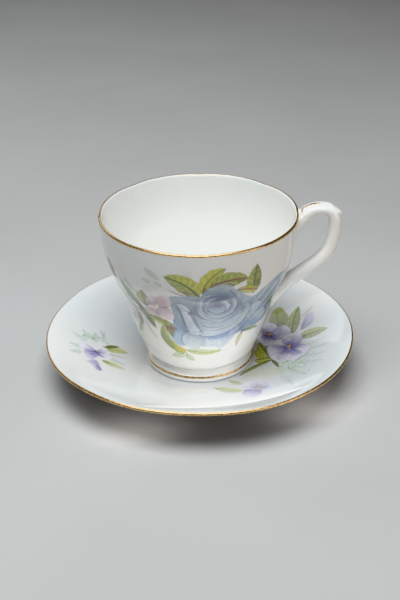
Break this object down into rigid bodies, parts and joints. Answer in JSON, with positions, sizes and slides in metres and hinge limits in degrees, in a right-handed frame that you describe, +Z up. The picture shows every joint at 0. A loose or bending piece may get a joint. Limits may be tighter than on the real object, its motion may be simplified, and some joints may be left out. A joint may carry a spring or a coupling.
{
  "type": "teacup and saucer",
  "caption": "Footed bell-shaped teacup with a loop handle, resting in the well of its saucer; white china with gilt edges and flower sprays.",
  "frame": {"origin": "middle of the saucer's foot ring, on the surface it stands on", "axes": "+Z up along the axis of saucer and cup; +X towards the cup's handle"},
  "size_m": [0.1394, 0.1394, 0.0822],
  "materials": {
    "china": "clear gloss glaze on white bone china",
    "gilding": "burnished gold line, lightly worn",
    "print": "soft flower print under the gloss"
  },
  "bodies": {
    "saucer": {"saucer": "china", "saucer_rim_gilding": "gilding", "saucer_transfer_right": "print", "saucer_transfer_left": "print"},
    "cup": {"cup_bowl": "china", "cup_foot": "china", "cup_handle": "china", "cup_rim_gilding": "gilding", "cup_foot_gilding": "gilding", "cup_handle_gilding": "gilding", "cup_transfer_front": "print", "cup_transfer_back": "print"}
  },
  "joints": [
    {"name": "cup_lift", "type": "slide", "parent": "saucer", "child": "cup", "axis": [0, 0, 1], "range_m": [0, 0.09]}
  ]
}
